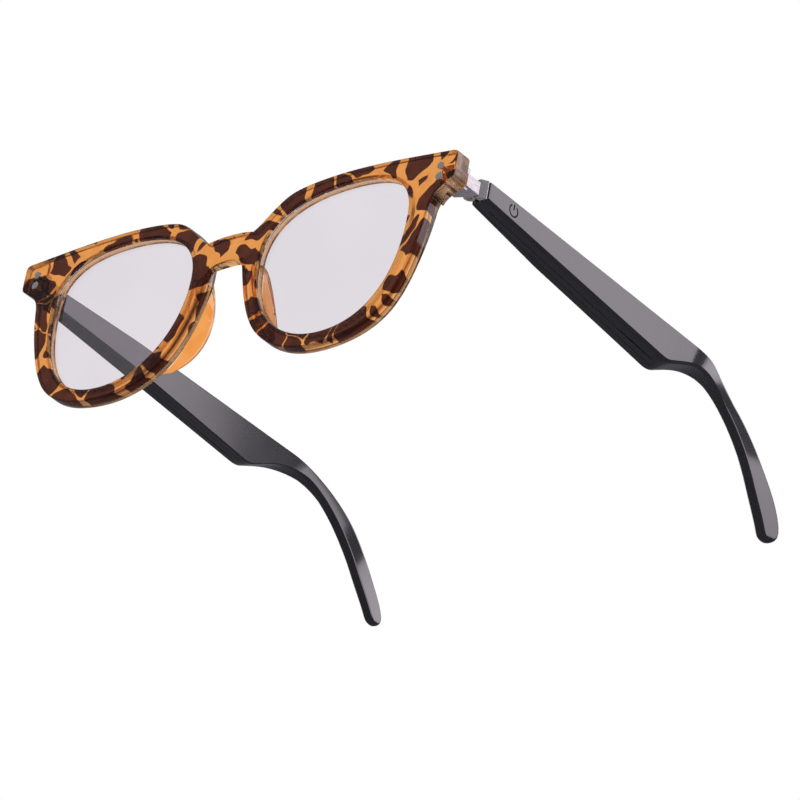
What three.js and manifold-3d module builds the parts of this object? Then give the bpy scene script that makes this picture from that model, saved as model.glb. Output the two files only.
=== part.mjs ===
// Smart glasses: a clear acetate front with two plano lenses and two folding
// temples that carry the electronics. Millimetres, +X to the viewer's right of
// the front, +Y from the front towards the ears, +Z up.
import * as THREE from 'three';
import { mergeVertices } from 'three/addons/utils/BufferGeometryUtils.js';
import Module from 'manifold-3d';

const wasm = await Module();
wasm.setup();

// Front
const FRONT_DEPTH = 4.2;
const END_PIECE_DEPTH = 5.0;
const END_PIECE_FROM_X = 65.2;
const FRONT_BEVEL = 0.5;
const CURVE_STEPS = 8;
const GROOVE_DEPTH = 1.0;
const GROOVE_FROM = 1.0;
const GROOVE_TO = 3.3;
const LENS_BITE = 0.7;
const LENS_FROM = 1.3;
const LENS_TO = 3.0;
const APERTURE_CENTRE = [34.6, 24.2];
const APERTURE_HALF = [23.6, 20.9];

// Rivets through each end piece
const RIVET_X = 66.4;
const RIVET_Z = { upper: 42.7, lower: 39.7 };
const RIVET_HEAD_R = 1.0;
const RIVET_SHANK_R = 0.6;

// Hinge: a metal block on the end piece, a pin, and a leaf in the temple
const AXIS_X = 67.8;
const AXIS_Y = 10.4;
const BLOCK_Z = [38.9, 42.3];
const BARREL_Z = [38.9, 42.6];
const BARREL_R = 1.5;
const PIN_R = 0.6;
const PIN_HOLE_R = 0.68;
const SLOT_Z = [39.8, 41.3];
const TONGUE_Z = [40.1, 41.0];
const END_CAP_Z = [38.7, 43.6];
const GAP = 0.3;

// Temple
const OUTER_X = 72;
const INNER_X = 65.5;
const INNER_X_FRONT = 66.9;
const HOOK_X = [65.6, 68.4];
const HOOK_FROM_Y = 104;
const TOE_IN = 0.035;
const TOE_IN_FROM_Y = 106;
const TIP_TWIST = 0.2;
const TIP_TWIST_FROM_Y = 128;
const SPLIT_X = 67.4;
const COVER_END_Y = 96;
const TEMPLE_FRONT_Y = 12.4;
const TEMPLE_TOP_Z = 43.8;
const ELBOW_Y = 85;
const ELBOW_Z = 33.7;
const FRONT_BOTTOM_Z = 38.4;
const WALL = 1.3;
const BOTTOM_TILT = 1.1;
const TILT_END_Y = 106;

const MATERIALS = {
  acetate: { color: 0x9a5a2c, roughness: 0.12, metalness: 0 },
  lens: { color: 0xdcd6de, roughness: 0.03, metalness: 0 },
  pad: { color: 0xd98a3c, roughness: 0.15, metalness: 0 },
  steel: { color: 0xc9c6c8, roughness: 0.28, metalness: 1 },
  black: { color: 0x1b1b1f, roughness: 0.16, metalness: 0 },
  print: { color: 0x0b0b0c, roughness: 0.5, metalness: 0 },
  board: { color: 0x14532d, roughness: 0.55, metalness: 0 },
  battery: { color: 0xb9bcc4, roughness: 0.35, metalness: 0.6 },
  speaker: { color: 0x3a3a3e, roughness: 0.5, metalness: 0.3 },
  mesh: { color: 0x55565a, roughness: 0.45, metalness: 0.8 },
  gold: { color: 0xd9b45a, roughness: 0.25, metalness: 1 },
  foil: { color: 0xb87445, roughness: 0.35, metalness: 0.9 },
};

// ---- geometry helpers ----

function solidFrom(geometry) {
  const bare = new THREE.BufferGeometry();
  bare.setAttribute('position', geometry.getAttribute('position').clone());
  if (geometry.index) {
    bare.setIndex(geometry.index.clone());
  }
  const merged = mergeVertices(bare, 1e-4);
  const mesh = new wasm.Mesh({
    numProp: 3,
    vertProperties: new Float32Array(merged.getAttribute('position').array),
    triVerts: new Uint32Array(merged.index.array),
  });
  return new wasm.Manifold(mesh);
}

function extruded(shape, depth, bevel = 0) {
  return new THREE.ExtrudeGeometry(shape, {
    depth: depth - 2 * bevel,
    curveSegments: CURVE_STEPS,
    bevelEnabled: bevel > 0,
    bevelThickness: bevel,
    bevelSize: bevel,
    bevelOffset: -bevel,
    bevelSegments: 1,
  }).translate(0, 0, bevel);
}

// Outline in x and z, running back from y0 to y1.
function frontSlab(shape, y0, y1, bevel = 0) {
  const geometry = extruded(shape, y1 - y0, bevel);
  geometry.rotateX(Math.PI / 2);
  geometry.translate(0, y1, 0);
  return solidFrom(geometry);
}

// Outline in y and z, running across from x0 to x1.
function sideSlab(shape, x0, x1, bevel = 0) {
  return placedSideways(extruded(shape, x1 - x0, bevel), x0);
}

function placedSideways(geometry, x0) {
  const turn = new THREE.Matrix4().makeBasis(
    new THREE.Vector3(0, 1, 0),
    new THREE.Vector3(0, 0, 1),
    new THREE.Vector3(1, 0, 0),
  );
  geometry.applyMatrix4(turn);
  geometry.translate(x0, 0, 0);
  return solidFrom(geometry);
}

// Outline in x and y, rising from z0 to z1.
function planSlab(shape, z0, z1) {
  return solidFrom(extruded(shape, z1 - z0).translate(0, 0, z0));
}

function box([x0, x1], [y0, y1], [z0, z1]) {
  const geometry = new THREE.BoxGeometry(x1 - x0, y1 - y0, z1 - z0);
  geometry.translate((x0 + x1) / 2, (y0 + y1) / 2, (z0 + z1) / 2);
  return solidFrom(geometry);
}

function rod(axis, radius, from, to, [a, b], sides = 20) {
  const geometry = new THREE.CylinderGeometry(radius, radius, to - from, sides);
  const middle = (from + to) / 2;
  if (axis === 'x') {
    geometry.rotateZ(-Math.PI / 2);
    geometry.translate(middle, a, b);
  } else if (axis === 'y') {
    geometry.translate(a, middle, b);
  } else {
    geometry.rotateX(Math.PI / 2);
    geometry.translate(a, b, middle);
  }
  return solidFrom(geometry);
}

function polygon(points) {
  return new THREE.Shape(points.map(([u, v]) => new THREE.Vector2(u, v)));
}

// ---- front ----

// Right half of the outer edge, from the bridge top round to its underside.
function frontHalfOutline() {
  const path = new THREE.Path();
  path.moveTo(0, 39.0);
  path.quadraticCurveTo(4.2, 39.1, 7.4, 38.3);
  path.bezierCurveTo(10.5, 39.8, 14.5, 45.8, 20, 47.1);
  path.bezierCurveTo(24.5, 48.2, 31, 48.7, 38, 48.7);
  path.bezierCurveTo(49, 48.6, 60, 47.4, 69.4, 46.6);
  path.quadraticCurveTo(71.2, 46.4, 71.2, 44.8);
  path.lineTo(71.2, 39.9);
  path.quadraticCurveTo(71.2, 39.0, 70.4, 38.5);
  path.lineTo(66.4, 35.7);
  path.quadraticCurveTo(64.9, 34.4, 64.5, 31.8);
  path.bezierCurveTo(63.6, 24.5, 60.9, 14.6, 57.3, 9.2);
  path.bezierCurveTo(53.5, 3.0, 45.5, 0, 35, 0);
  path.bezierCurveTo(26.5, 0, 19, 3.0, 14, 8.7);
  path.bezierCurveTo(9.8, 13.6, 7.6, 21.5, 5.9, 28.2);
  path.bezierCurveTo(5.2, 30.4, 3, 31.2, 0, 31.2);
  return path.getPoints(CURVE_STEPS);
}

// Right lens opening, grown outwards by `grow`; side -1 gives the left one.
function aperturePoints(side, grow) {
  const path = new THREE.Path();
  path.moveTo(36, 45.1);
  path.bezierCurveTo(51.5, 45.2, 58.6, 40.5, 58.2, 30);
  path.bezierCurveTo(58.0, 14.5, 51.2, 3.4, 36, 3.4);
  path.bezierCurveTo(22, 3.4, 11.2, 14, 11, 28.5);
  path.bezierCurveTo(10.8, 40.5, 21.5, 45.0, 36, 45.1);
  const points = path.getPoints(CURVE_STEPS);
  points.pop();
  const [cx, cz] = APERTURE_CENTRE;
  const sx = 1 + grow / APERTURE_HALF[0];
  const sz = 1 + grow / APERTURE_HALF[1];
  return points.map((p) => new THREE.Vector2(side * (cx + (p.x - cx) * sx), cz + (p.y - cz) * sz));
}

function frontFrame() {
  const half = frontHalfOutline();
  const mirrored = half.slice(1, -1).reverse().map((p) => new THREE.Vector2(-p.x, p.y));
  const outline = new THREE.Shape([...half, ...mirrored].reverse());
  for (const side of [-1, 1]) {
    outline.holes.push(new THREE.Path(aperturePoints(side, 0)));
  }
  const deep = frontSlab(outline, 0, END_PIECE_DEPTH, FRONT_BEVEL);
  const relief = polygon([[1.4, 30.2], [4.8, 33.8], [9, 33.8], [9, 28], [1.4, 28]]);
  let solid = frontSlab(outline, 0, FRONT_DEPTH, FRONT_BEVEL)
    .subtract(sideSlab(relief, -6.5, 6.5));
  for (const side of [-1, 1]) {
    const reach = [END_PIECE_FROM_X * side, 80 * side].sort((a, b) => a - b);
    solid = solid.add(deep.intersect(box(reach, [2, 9], [30, 50])));
    const groove = new THREE.Shape(aperturePoints(side, GROOVE_DEPTH));
    solid = solid.subtract(frontSlab(groove, GROOVE_FROM, GROOVE_TO));
    for (const z of Object.values(RIVET_Z)) {
      const centre = [side * RIVET_X, z];
      solid = solid.subtract(rod('y', RIVET_SHANK_R + GAP, -1, END_PIECE_DEPTH + 1, centre, 16));
      solid = solid.subtract(rod('y', RIVET_HEAD_R + GAP, -1, 0.5, centre, 16));
    }
  }
  return solid;
}

function lens() {
  return frontSlab(new THREE.Shape(aperturePoints(1, LENS_BITE)), LENS_FROM, LENS_TO);
}

// A rounded lobe standing back from the nasal side of the rim, deepest low down.
function nosePad() {
  const path = new THREE.Path();
  path.moveTo(7.3, 28.4);
  path.bezierCurveTo(8.3, 20.5, 10.2, 14.0, 13.6, 9.4);
  path.bezierCurveTo(14.9, 7.8, 16.4, 6.4, 18.0, 5.4);
  path.bezierCurveTo(19.0, 4.9, 19.8, 6.0, 19.2, 6.9);
  path.bezierCurveTo(14.0, 12.6, 11.5, 20.0, 10.9, 27.6);
  path.bezierCurveTo(10.6, 30.2, 7.2, 30.4, 7.3, 28.4);
  const points = path.getPoints(6);
  points.pop();
  const profile = new THREE.Shape();
  profile.moveTo(0, 31);
  profile.lineTo(4.4, 30.4);
  profile.bezierCurveTo(7.2, 28.4, 10.1, 23.0, 10.1, 17.0);
  profile.bezierCurveTo(10.1, 12.4, 8.2, 7.8, 4.4, 4.9);
  profile.lineTo(0, 4.4);
  const lobe = frontSlab(new THREE.Shape(points), FRONT_DEPTH + GAP, 12);
  return lobe.intersect(sideSlab(profile, 5, 21, 0.8));
}

function rivet(z) {
  const shank = rod('y', RIVET_SHANK_R, 0, END_PIECE_DEPTH - 0.2, [RIVET_X, z], 14);
  return shank.add(rod('y', RIVET_HEAD_R, -0.15, 0.2, [RIVET_X, z], 24));
}

// ---- hinge ----

function hingeBlock() {
  const plan = polygon([
    [64.5, END_PIECE_DEPTH + GAP],
    [71.0, END_PIECE_DEPTH + GAP],
    [71.0, 10.0],
    [67.8, 10.0],
    [66.3, 9.2],
    [64.5, 8.6],
  ]);
  const plate = box([65.4, 70.4], [END_PIECE_DEPTH + GAP, 6.4], [38.2, 44.2]);
  const barrel = rod('z', BARREL_R, ...BARREL_Z, [AXIS_X, AXIS_Y], 24);
  const slot = box([60, 70.2], [8.6, 15], SLOT_Z);
  return planSlab(plan, ...BLOCK_Z)
    .add(plate)
    .add(barrel)
    .subtract(slot)
    .subtract(rod('z', PIN_HOLE_R, 30, 50, [AXIS_X, AXIS_Y], 24));
}

function hingePin() {
  const headR = 1.15;
  const pin = rod('z', PIN_R, BARREL_Z[0] + 0.2, BARREL_Z[1] + 0.2, [AXIS_X, AXIS_Y], 24);
  const head = rod('z', headR, BARREL_Z[1] + 0.1, BARREL_Z[1] + 0.7, [AXIS_X, AXIS_Y], 24);
  const drive = box([AXIS_X - 1.3, AXIS_X + 1.3], [AXIS_Y - 0.15, AXIS_Y + 0.15], [43.0, 44]);
  return pin.add(head).subtract(drive);
}

function hingeLeaf() {
  const eye = rod('z', BARREL_R - 0.05, ...TONGUE_Z, [AXIS_X, AXIS_Y], 24);
  const arm = box([AXIS_X, 69.1], [AXIS_Y, 15.5], TONGUE_Z);
  const bridge = box([AXIS_X, 70.6], [10.9, 11.7], TONGUE_Z);
  const plate = box([68.0, 69.1], [14.4, 25.6], [39.9, 42.1]);
  const cap = polygon([
    [69.6, 10.3],
    [70.7, 10.3],
    [71.9, 11.8],
    [71.9, TEMPLE_FRONT_Y - GAP],
    [69.6, TEMPLE_FRONT_Y - GAP],
  ]);
  return eye
    .add(arm)
    .add(bridge)
    .add(plate)
    .add(planSlab(cap, ...END_CAP_Z))
    .subtract(rod('z', PIN_HOLE_R, 30, 50, [AXIS_X, AXIS_Y], 24));
}

// ---- temple ----

// The underside leans: its inner edge hangs lower, most of all at the elbow.
function leaned(solid) {
  return solid.warp((v) => {
    const rise = v[1] < ELBOW_Y
      ? (v[1] - TEMPLE_FRONT_Y) / (ELBOW_Y - TEMPLE_FRONT_Y)
      : (TILT_END_Y - v[1]) / (TILT_END_Y - ELBOW_Y);
    const lean = BOTTOM_TILT * THREE.MathUtils.clamp(rise, 0, 1);
    const across = (OUTER_X - v[0]) / (OUTER_X - INNER_X);
    const down = (TEMPLE_TOP_Z - v[2]) / (TEMPLE_TOP_Z - ELBOW_Z);
    v[2] -= lean * across * THREE.MathUtils.clamp(down, 0, 1);
  });
}

function templeSolid() {
  const side = new THREE.Shape();
  side.moveTo(TEMPLE_FRONT_Y, FRONT_BOTTOM_Z);
  side.lineTo(ELBOW_Y, ELBOW_Z);
  side.quadraticCurveTo(87.6, 33.5, 89.4, 34.5);
  side.bezierCurveTo(96, 37.6, 101, 40.4, 109, 39.5);
  side.bezierCurveTo(112.6, 38.9, 116, 37.4, 119, 35.4);
  side.lineTo(122.8, 39.8);
  side.bezierCurveTo(117, 42.8, 111, TEMPLE_TOP_Z, 103, TEMPLE_TOP_Z);
  side.lineTo(TEMPLE_FRONT_Y, TEMPLE_TOP_Z);
  const plan = new THREE.Shape();
  plan.moveTo(INNER_X_FRONT, TEMPLE_FRONT_Y);
  plan.lineTo(71.5, TEMPLE_FRONT_Y);
  plan.lineTo(OUTER_X, TEMPLE_FRONT_Y + 0.6);
  plan.lineTo(OUTER_X, 97);
  plan.bezierCurveTo(OUTER_X, 104.5, 69.0, 110, 67.2, 120);
  plan.lineTo(66.0, 120);
  plan.lineTo(INNER_X, 104);
  plan.lineTo(INNER_X, 40);
  const body = sideSlab(side, INNER_X, OUTER_X, 0.5).intersect(planSlab(plan, 0, 60));
  return body.add(earHook());
}

// The thin tail behind the ear, rounded on its long edges.
function earHook() {
  const path = new THREE.Path();
  path.moveTo(HOOK_FROM_Y, 40.2);
  path.bezierCurveTo(106, 40.1, 107, 39.9, 109, 39.5);
  path.bezierCurveTo(118, 37.7, 127, 30.8, 133, 23.2);
  path.bezierCurveTo(136, 19.5, 138.6, 16.8, 140.4, 14.2);
  path.bezierCurveTo(142.0, 11.9, 146.4, 11.6, 146.8, 15.4);
  path.bezierCurveTo(146.6, 19.5, 139, 27.2, 133.2, 32.3);
  path.bezierCurveTo(126.5, 38.3, 117.5, 43.6, HOOK_FROM_Y, 43.6);
  const points = path.getPoints(7);
  const geometry = new THREE.ExtrudeGeometry(new THREE.Shape(points), {
    depth: HOOK_X[1] - HOOK_X[0] - 2,
    bevelEnabled: true,
    bevelThickness: 1,
    bevelSize: 1,
    bevelOffset: -1,
    bevelSegments: 3,
  });
  geometry.translate(0, 0, 1);
  return placedSideways(geometry, HOOK_X[0]).warp((v) => {
    const twist = TIP_TWIST * THREE.MathUtils.clamp((v[1] - TIP_TWIST_FROM_Y) / 14, 0, 1);
    const offCentre = 0.75 * (v[1] - 131) + 0.66 * (v[2] - 30);
    v[0] += twist * offCentre - TOE_IN * Math.max(0, v[1] - TOE_IN_FROM_Y);
  });
}

const POCKET = polygon([
  [14.0, FRONT_BOTTOM_Z - 0.1 + WALL],
  [ELBOW_Y, ELBOW_Z + WALL],
  [93.5, 37.9],
  [93.5, TEMPLE_TOP_Z - WALL],
  [14.0, TEMPLE_TOP_Z - WALL],
]);
const GRILLE_Y = [71, 81];
const GRILLE_X = [69.0, 69.7];
const MIC_AT = [68.4, 30];
const CONTACT_Y = { front: 41.5, rear: 46.5 };
const CONTACT_Z = 40.0;
const CONTACT_R = 0.8;
const TOUCH_AT = [22.2, 41.0];
const ICON_R = 1.8;

function templeShell(hasIcon) {
  const coverRoom = box([60, SPLIT_X + GAP], [0, COVER_END_Y + GAP], [20, 60]);
  const pocket = sideSlab(POCKET, 60, 70.7);
  const armSlot = box([AXIS_X - GAP, 69.4], [10, 15], SLOT_Z);
  const grille = box(GRILLE_X, GRILLE_Y, [30, 37]);
  let solid = templeSolid()
    .subtract(coverRoom)
    .subtract(pocket)
    .subtract(armSlot)
    .subtract(grille)
    .subtract(rod('z', 0.45, 40, 50, MIC_AT, 12));
  if (hasIcon) {
    solid = solid.subtract(rod('x', ICON_R + 0.25, 71.5, 73, TOUCH_AT, 32));
  }
  return leaned(solid);
}

function templeCover(hasContacts) {
  let solid = templeSolid().intersect(box([60, SPLIT_X], [0, COVER_END_Y], [20, 60]));
  for (const y of hasContacts ? Object.values(CONTACT_Y) : []) {
    solid = solid.subtract(rod('x', CONTACT_R + 0.25, 60, 70, [y, CONTACT_Z], 16));
  }
  return leaned(solid);
}

// Raised ring with a gap at the top and a short bar, on a thin round plate.
function powerIcon() {
  const [y, z] = TOUCH_AT;
  const plate = rod('x', ICON_R, 71.7, 71.85, TOUCH_AT, 32);
  const ring = rod('x', 1.5, 71.8, 72, TOUCH_AT, 32)
    .subtract(rod('x', 1.2, 71, 73, TOUCH_AT, 32))
    .subtract(box([71, 73], [y - 0.6, y + 0.6], [z + 0.3, z + 3]));
  const bar = box([71.8, 72], [y - 0.17, y + 0.17], [z + 0.1, z + 1.6]);
  return plate.add(ring).add(bar);
}

function speakerMesh() {
  const [y0, y1] = GRILLE_Y;
  return box([GRILLE_X[0] - 0.8, GRILLE_X[1] + 0.7], [y0 + 0.2, y1 - 0.2], [36.3, 36.7]);
}

function contact(y) {
  const pad = rod('x', CONTACT_R, INNER_X - 0.1, SPLIT_X + 0.1, [y, CONTACT_Z], 16);
  return pad.add(rod('x', 1.3, SPLIT_X + 0.35, SPLIT_X + 0.9, [y, CONTACT_Z], 16))
    .add(rod('x', 0.5, SPLIT_X, SPLIT_X + 0.5, [y, CONTACT_Z], 12));
}

function circuitBoard() {
  const board = box([69.2, 70.0], [27.5, 48.5], [39.6, 42.1]);
  const mainChip = box([68.4, 69.3], [33, 36.5], [39.9, 41.9]);
  const smallChip = box([68.7, 69.3], [37.6, 39.4], [40.2, 41.6]);
  return board.add(mainChip).add(smallChip);
}

function battery() {
  const cell = box([67.9, 70.3], [50, 69], [37.9, 42.1]);
  return cell.add(box([68.4, 69.8], [49.3, 50.2], [38.5, 41.5]));
}

function speaker() {
  const body = box([67.9, 70.3], [76, 89.5], [38.0, 42.0]);
  return body.subtract(box([67, 68.3], [77.2, 88.3], [38.9, 41.1]));
}

function microphone() {
  const [x, y] = MIC_AT;
  const can = box([x - 0.5, x + 0.5], [y - 1.5, y + 1.5], [41.3, 42.3]);
  return can.subtract(rod('z', 0.3, 42.0, 43, MIC_AT, 12));
}

function touchSensor() {
  const [y, z] = TOUCH_AT;
  return box([70.1, 70.4], [y - 4.5, y + 4.5], [z - 1.2, z + 1.1]);
}

// ---- assembly ----

function meshFrom(name, solid, finish) {
  const out = solid.getMesh();
  const geometry = new THREE.BufferGeometry();
  geometry.setAttribute('position', new THREE.BufferAttribute(out.vertProperties.slice(), 3));
  geometry.setIndex(new THREE.BufferAttribute(out.triVerts.slice(), 1));
  geometry.computeVertexNormals();
  const mesh = new THREE.Mesh(geometry, new THREE.MeshStandardMaterial(MATERIALS[finish]));
  mesh.name = name;
  return mesh;
}

const PER_SIDE = [
  ['lens', lens, 'lens'],
  ['nose_pad', nosePad, 'pad'],
  ['rivet_upper', () => rivet(RIVET_Z.upper), 'steel'],
  ['rivet_lower', () => rivet(RIVET_Z.lower), 'steel'],
  ['hinge_block', hingeBlock, 'steel'],
  ['hinge_pin', hingePin, 'steel'],
  ['hinge_leaf', hingeLeaf, 'steel'],
  ['temple_shell', (side) => templeShell(side > 0), 'black'],
  ['temple_cover', (side) => templeCover(side > 0), 'black'],
  ['speaker_mesh', speakerMesh, 'mesh'],
  ['circuit_board', circuitBoard, 'board'],
  ['battery', battery, 'battery'],
  ['speaker', speaker, 'speaker'],
  ['microphone', microphone, 'speaker'],
  ['touch_sensor', touchSensor, 'foil'],
];

const glasses = new THREE.Group();
glasses.name = 'smart_glasses';
glasses.add(meshFrom('front_frame', frontFrame(), 'acetate'));
for (const [name, build, finish] of PER_SIDE) {
  for (const [suffix, side] of [['left', -1], ['right', 1]]) {
    const solid = build(side);
    const placed = side < 0 ? solid.mirror([1, 0, 0]) : solid;
    glasses.add(meshFrom(`${name}_${suffix}`, placed, finish));
  }
}
for (const [end, y] of Object.entries(CONTACT_Y)) {
  glasses.add(meshFrom(`charging_contact_${end}`, contact(y), 'gold'));
}
glasses.add(meshFrom('power_icon', powerIcon(), 'print'));

// Centre the depth on y = 0 and stand the rims on z = 0.
const bounds = new THREE.Box3().setFromObject(glasses);
const middle = (bounds.min.y + bounds.max.y) / 2;
for (const mesh of glasses.children) {
  mesh.geometry.translate(0, -middle, -bounds.min.z);
}

export default glasses;
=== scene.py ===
"""Looks for the smart glasses: smooth visual pieces, procedural materials, studio and camera.

Lengths named in millimetres are in the drawing frame of the CAD source: x across, y back
from the front face, z up from the bottom of the rims. place() turns them into the row frame.
"""
import math

import bmesh
import bpy
from mathutils import Matrix, Vector


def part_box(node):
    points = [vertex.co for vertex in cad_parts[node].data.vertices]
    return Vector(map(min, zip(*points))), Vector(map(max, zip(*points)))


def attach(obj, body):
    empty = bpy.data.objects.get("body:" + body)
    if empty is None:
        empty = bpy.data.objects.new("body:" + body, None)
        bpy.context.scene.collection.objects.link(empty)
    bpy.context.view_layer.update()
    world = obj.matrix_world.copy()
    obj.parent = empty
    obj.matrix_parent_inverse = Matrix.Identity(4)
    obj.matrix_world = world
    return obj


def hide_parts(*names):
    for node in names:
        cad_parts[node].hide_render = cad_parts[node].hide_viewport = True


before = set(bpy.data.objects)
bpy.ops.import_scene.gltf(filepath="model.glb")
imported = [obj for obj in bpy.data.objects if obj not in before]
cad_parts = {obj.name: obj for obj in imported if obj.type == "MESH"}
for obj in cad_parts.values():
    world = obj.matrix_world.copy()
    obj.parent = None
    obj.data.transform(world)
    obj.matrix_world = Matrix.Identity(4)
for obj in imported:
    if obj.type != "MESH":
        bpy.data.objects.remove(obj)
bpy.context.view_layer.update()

MM = 0.001
# The front face of the drawing frame lies here along the row's y.
FRONT_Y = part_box("front_frame")[0].y
COLLECTION = bpy.context.scene.collection
BEVEL_STEPS = 7
CIRCLE_STEPS = 32


def place(x, y, z):
    return Vector((x * MM, FRONT_Y + y * MM, z * MM))


# ---------------------------------------------------------------- curves and lofts

def bezier(p0, p1, p2, p3, count):
    """Points of a cubic from p0 up to but not including p3."""
    points = []
    for i in range(count):
        t = i / count
        u = 1 - t
        k = (u * u * u, 3 * u * u * t, 3 * u * t * t, t * t * t)
        points.append(tuple(k[0] * a + k[1] * b + k[2] * c + k[3] * d
                            for a, b, c, d in zip(p0, p1, p2, p3)))
    return points


def quadratic(p0, p1, p2, count):
    c1 = tuple(a + (b - a) * 2 / 3 for a, b in zip(p0, p1))
    c2 = tuple(a + (b - a) * 2 / 3 for a, b in zip(p2, p1))
    return bezier(p0, c1, c2, p2, count)


def resample(points, count):
    """count + 1 points at equal steps along an open polyline."""
    lengths = [0.0]
    for a, b in zip(points, points[1:]):
        lengths.append(lengths[-1] + math.dist(a, b))
    found = []
    j = 0
    for i in range(count + 1):
        s = lengths[-1] * i / count
        while j < len(points) - 2 and lengths[j + 1] < s:
            j += 1
        span = max(lengths[j + 1] - lengths[j], 1e-9)
        t = min(max((s - lengths[j]) / span, 0), 1)
        found.append(tuple(a + (b - a) * t for a, b in zip(points[j], points[j + 1])))
    return found


def at(points, key, value):
    """The point of a polyline where coordinate key first reaches value."""
    for a, b in zip(points, points[1:]):
        if min(a[key], b[key]) <= value <= max(a[key], b[key]) and a[key] != b[key]:
            t = (value - a[key]) / (b[key] - a[key])
            return tuple(p + (q - p) * t for p, q in zip(a, b))
    return points[-1] if value > points[-1][key] else points[0]


def smoothstep(t):
    t = min(max(t, 0.0), 1.0)
    return t * t * (3 - 2 * t)


def new_object(name, mesh):
    obj = bpy.data.objects.new(name, mesh)
    COLLECTION.objects.link(obj)
    return obj


def mesh_object(name, verts, faces):
    mesh = bpy.data.meshes.new(name)
    mesh.from_pydata([tuple(v) for v in verts], [], faces)
    clean(mesh)
    return new_object(name, mesh)


def clean(mesh, merge=1e-7):
    bm = bmesh.new()
    bm.from_mesh(mesh)
    bmesh.ops.remove_doubles(bm, verts=bm.verts, dist=merge)
    bmesh.ops.dissolve_degenerate(bm, edges=bm.edges, dist=merge)
    bmesh.ops.recalc_face_normals(bm, faces=bm.faces)
    bm.to_mesh(mesh)
    bm.free()


def loft(name, rings):
    """A closed skin through rings of equal length, with a flat cap on each end."""
    n = len(rings[0])
    verts = [v for ring in rings for v in ring]
    faces = []
    for r in range(len(rings) - 1):
        for i in range(n):
            j = (i + 1) % n
            a, b = r * n, (r + 1) * n
            faces.append((a + i, a + j, b + j, b + i))
    faces.append(tuple(range(n - 1, -1, -1)))
    last = (len(rings) - 1) * n
    faces.append(tuple(range(last, last + n)))
    return mesh_object(name, verts, faces)


def slab(name, outlines, y0, y1, bevel=0.0):
    """Outlines in x and z, filled between them and run back from y0 to y1."""
    curve = bpy.data.curves.new(name, "CURVE")
    curve.dimensions = "2D"
    curve.fill_mode = "BOTH"
    for outline in outlines:
        spline = curve.splines.new("POLY")
        spline.points.add(len(outline) - 1)
        for point, (x, z) in zip(spline.points, outline):
            point.co = (x, z, 0, 1)
        spline.use_cyclic_u = True
    curve.extrude = (y1 - y0) / 2 - bevel
    if bevel:
        curve.bevel_depth = bevel
        curve.bevel_resolution = BEVEL_STEPS
        curve.offset = -bevel
    holder = new_object(name + "_curve", curve)
    bpy.context.view_layer.update()
    evaluated = holder.evaluated_get(bpy.context.evaluated_depsgraph_get())
    mesh = bpy.data.meshes.new_from_object(evaluated)
    bpy.data.objects.remove(holder)
    middle = (y0 + y1) / 2
    for v in mesh.vertices:
        x, z, depth = v.co
        v.co = place(x, middle - depth, z)
    clean(mesh, 1e-6)
    return new_object(name, mesh)


def block(name, x, y, z):
    """A cutting box, used only inside boolean operations."""
    corners = [place(a, b, c) for a in x for b in y for c in z]
    faces = [(0, 1, 3, 2), (4, 6, 7, 5), (0, 4, 5, 1), (2, 3, 7, 6), (0, 2, 6, 4), (1, 5, 7, 3)]
    return mesh_object(name, corners, faces)


def prism(name, points, x0, x1):
    """Outline in y and z, run across from x0 to x1; a cutter as well."""
    n = len(points)
    verts = [place(x, y, z) for x in (x0, x1) for y, z in points]
    faces = [tuple(range(n)), tuple(range(2 * n - 1, n - 1, -1))]
    faces += [(i, (i + 1) % n, n + (i + 1) % n, n + i) for i in range(n)]
    return mesh_object(name, verts, faces)


def circle(centre, radius):
    turns = [i * math.tau / CIRCLE_STEPS for i in range(CIRCLE_STEPS)]
    return [(centre[0] + radius * math.cos(a), centre[1] + radius * math.sin(a)) for a in turns]


def upright(name, points, z0, z1):
    """Outline in x and y, run up from z0 to z1; a cutter as well."""
    return loft(name, [[place(x, y, z) for x, y in points] for z in (z0, z1)])


def combine(obj, other, operation):
    """Applies a boolean to obj. The other object is used up."""
    modifier = obj.modifiers.new("cut", "BOOLEAN")
    modifier.operation = operation
    modifier.object = other
    modifier.solver = "MANIFOLD"
    bpy.context.view_layer.update()
    evaluated = obj.evaluated_get(bpy.context.evaluated_depsgraph_get())
    mesh = bpy.data.meshes.new_from_object(evaluated)
    obj.modifiers.clear()
    old = obj.data
    obj.data = mesh
    bpy.data.meshes.remove(old)
    bpy.data.objects.remove(other)


def copy_of(obj, name):
    return new_object(name, obj.data.copy())


def mirrored(obj, name):
    """The same piece on the other side of the glasses."""
    other = copy_of(obj, name)
    other.data.transform(Matrix.Scale(-1, 4, (1, 0, 0)))
    other.data.flip_normals()
    return other


def shade(obj, angle):
    """Smooth shading that keeps flat faces flat and real corners sharp."""
    obj.data.shade_smooth()
    obj.data.set_sharp_from_angle(angle=math.radians(angle))
    modifier = obj.modifiers.new("flat faces", "WEIGHTED_NORMAL")
    modifier.keep_sharp = True
    modifier.mode = "FACE_AREA_WITH_ANGLE"


def finish_piece(obj, body, material, replaced):
    obj.data.materials.clear()
    obj.data.materials.append(material)
    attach(obj, body)
    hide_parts(replaced)


# ---------------------------------------------------------------- materials

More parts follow.
